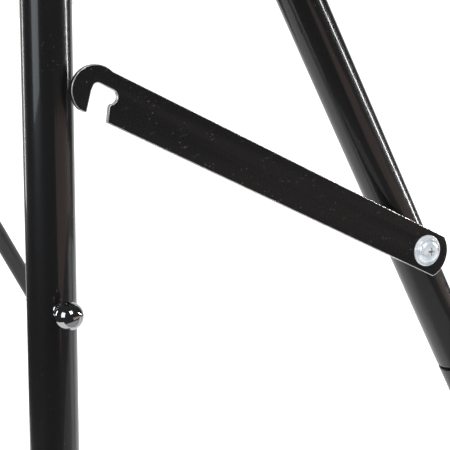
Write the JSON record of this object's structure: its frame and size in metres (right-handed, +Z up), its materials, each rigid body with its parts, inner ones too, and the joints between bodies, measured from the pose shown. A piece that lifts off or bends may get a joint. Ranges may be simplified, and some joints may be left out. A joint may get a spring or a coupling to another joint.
{
  "type": "folding sawhorse",
  "caption": "Folding A-frame sawhorse of black round steel tube under a box beam, with a flat hook strap and ball stud at each end that lock the legs open.",
  "frame": {"origin": "on the floor, under the middle of the beam", "axes": "+X along the beam, +Y towards the rear legs, +Z up, legs locked open"},
  "size_m": [1.226, 0.4552, 0.8],
  "materials": {
    "gloss_black": "glossy black coating on steel",
    "strap_black": "satin-gloss black coating with fine dust and scuffs",
    "zinc_plate": "bright blue-white zinc plate",
    "polished_stud": "polished dark bright steel",
    "foot_rubber": "matt black rubber",
    "cap_plastic": "fine-textured black plastic"
  },
  "bodies": {
    "front_frame": {"beam": "gloss_black", "beam_end_cap_left": "cap_plastic", "beam_end_cap_right": "cap_plastic", "front_leg_left": "gloss_black", "front_leg_right": "gloss_black", "front_lower_leg_left": "gloss_black", "front_lower_leg_right": "gloss_black", "front_foot_left": "foot_rubber", "front_foot_right": "foot_rubber", "front_cross_tube": "gloss_black", "front_hinge_plate_left": "gloss_black", "front_hinge_plate_right": "gloss_black", "hinge_bolt_left": "zinc_plate", "hinge_bolt_right": "zinc_plate", "hinge_sleeve_left": "zinc_plate", "hinge_sleeve_right": "zinc_plate", "hinge_washers": "zinc_plate", "hinge_lock_nuts": "zinc_plate", "ball_stud_left": "polished_stud", "ball_stud_right": "polished_stud", "stud_nuts": "zinc_plate", "front_lock_screws": "zinc_plate"},
    "rear_frame": {"rear_leg_left": "gloss_black", "rear_leg_right": "gloss_black", "rear_lower_leg_left": "gloss_black", "rear_lower_leg_right": "gloss_black", "rear_foot_left": "foot_rubber", "rear_foot_right": "foot_rubber", "rear_cross_tube": "gloss_black", "rear_hinge_plate_left": "gloss_black", "rear_hinge_plate_right": "gloss_black", "latch_screw_left": "zinc_plate", "latch_screw_right": "zinc_plate", "latch_spacers": "zinc_plate", "latch_lock_nuts": "zinc_plate", "rear_lock_screws": "zinc_plate"},
    "latch_left": {"latch_strap_left": "strap_black"},
    "latch_right": {"latch_strap_right": "strap_black"}
  },
  "joints": [
    {"name": "fold", "type": "hinge", "parent": "front_frame", "child": "rear_frame", "pos_m": [0, 0, 0.72372], "axis": [1, 0, 0], "range_deg": [-28.6, 0]},
    {"name": "latch_left", "type": "hinge", "parent": "rear_frame", "child": "latch_left", "pos_m": [-0.5852, 0.11337, 0.38522], "axis": [1, 0, 0], "range_deg": [-36.1, 28.46]},
    {"name": "latch_right", "type": "hinge", "parent": "rear_frame", "child": "latch_right", "pos_m": [0.5852, 0.11337, 0.38522], "axis": [1, 0, 0], "range_deg": [-36.1, 28.46]}
  ]
}
